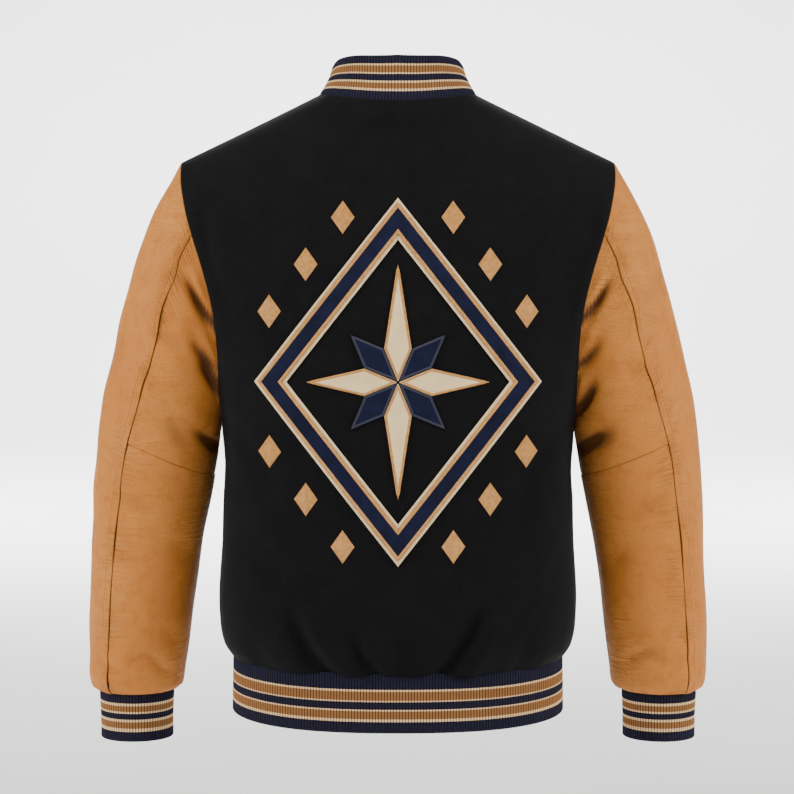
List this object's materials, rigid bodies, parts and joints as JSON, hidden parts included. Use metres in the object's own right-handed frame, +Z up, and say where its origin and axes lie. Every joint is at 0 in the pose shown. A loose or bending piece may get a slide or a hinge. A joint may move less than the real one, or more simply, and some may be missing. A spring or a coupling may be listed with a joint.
{
  "type": "varsity jacket",
  "caption": "Varsity jacket filled out as if worn: hollow wool body, leather sleeves, striped rib collar, cuffs and hem, snap front and a felt back applique.",
  "frame": {"origin": "middle of the neck, level with the points where the shoulder seams meet the collar", "axes": "+Z up, +Y out of the jacket's back, +X to the wearer's left"},
  "size_m": [0.6698, 0.2479, 0.7299],
  "materials": {
    "wool": "black wool melton, matt, with a short nap",
    "leather": "tan leather, soft semi-matt, fine grain",
    "rib_knit": "navy rib knit with gold and cream stripes",
    "snap_metal": "antique brass, satin",
    "felt_navy": "navy wool felt",
    "felt_cream": "cream wool felt with a satin-stitched edge",
    "satin_gold": "gold satin stitch"
  },
  "bodies": {
    "root": {"back_panel": "wool", "front_left": "wool", "front_right": "wool", "sleeve_top_left": "leather", "sleeve_under_upper_left": "leather", "sleeve_under_lower_left": "leather", "cuff_left": "rib_knit", "sleeve_top_right": "leather", "sleeve_under_upper_right": "leather", "sleeve_under_lower_right": "leather", "cuff_right": "rib_knit", "hem_rib": "rib_knit", "collar_rib": "rib_knit", "snap_1": "snap_metal", "snap_2": "snap_metal", "snap_3": "snap_metal", "snap_4": "snap_metal", "snap_5": "snap_metal", "snap_6": "snap_metal", "snap_7": "snap_metal", "applique_frame_base": "felt_cream", "applique_frame_top": "felt_navy", "applique_star_1": "felt_cream", "applique_star_2": "felt_navy", "applique_star_3": "felt_cream", "applique_star_4": "felt_navy", "applique_star_5": "felt_cream", "applique_star_6": "felt_navy", "applique_star_7": "felt_cream", "applique_star_8": "felt_navy", "applique_lozenge_1": "satin_gold", "applique_lozenge_2": "satin_gold", "applique_lozenge_3": "satin_gold", "applique_lozenge_4": "satin_gold", "applique_lozenge_5": "satin_gold", "applique_lozenge_6": "satin_gold", "applique_lozenge_7": "satin_gold", "applique_lozenge_8": "satin_gold", "applique_lozenge_9": "satin_gold", "applique_lozenge_10": "satin_gold", "applique_lozenge_11": "satin_gold", "applique_lozenge_12": "satin_gold"}
  },
  "joints": []
}
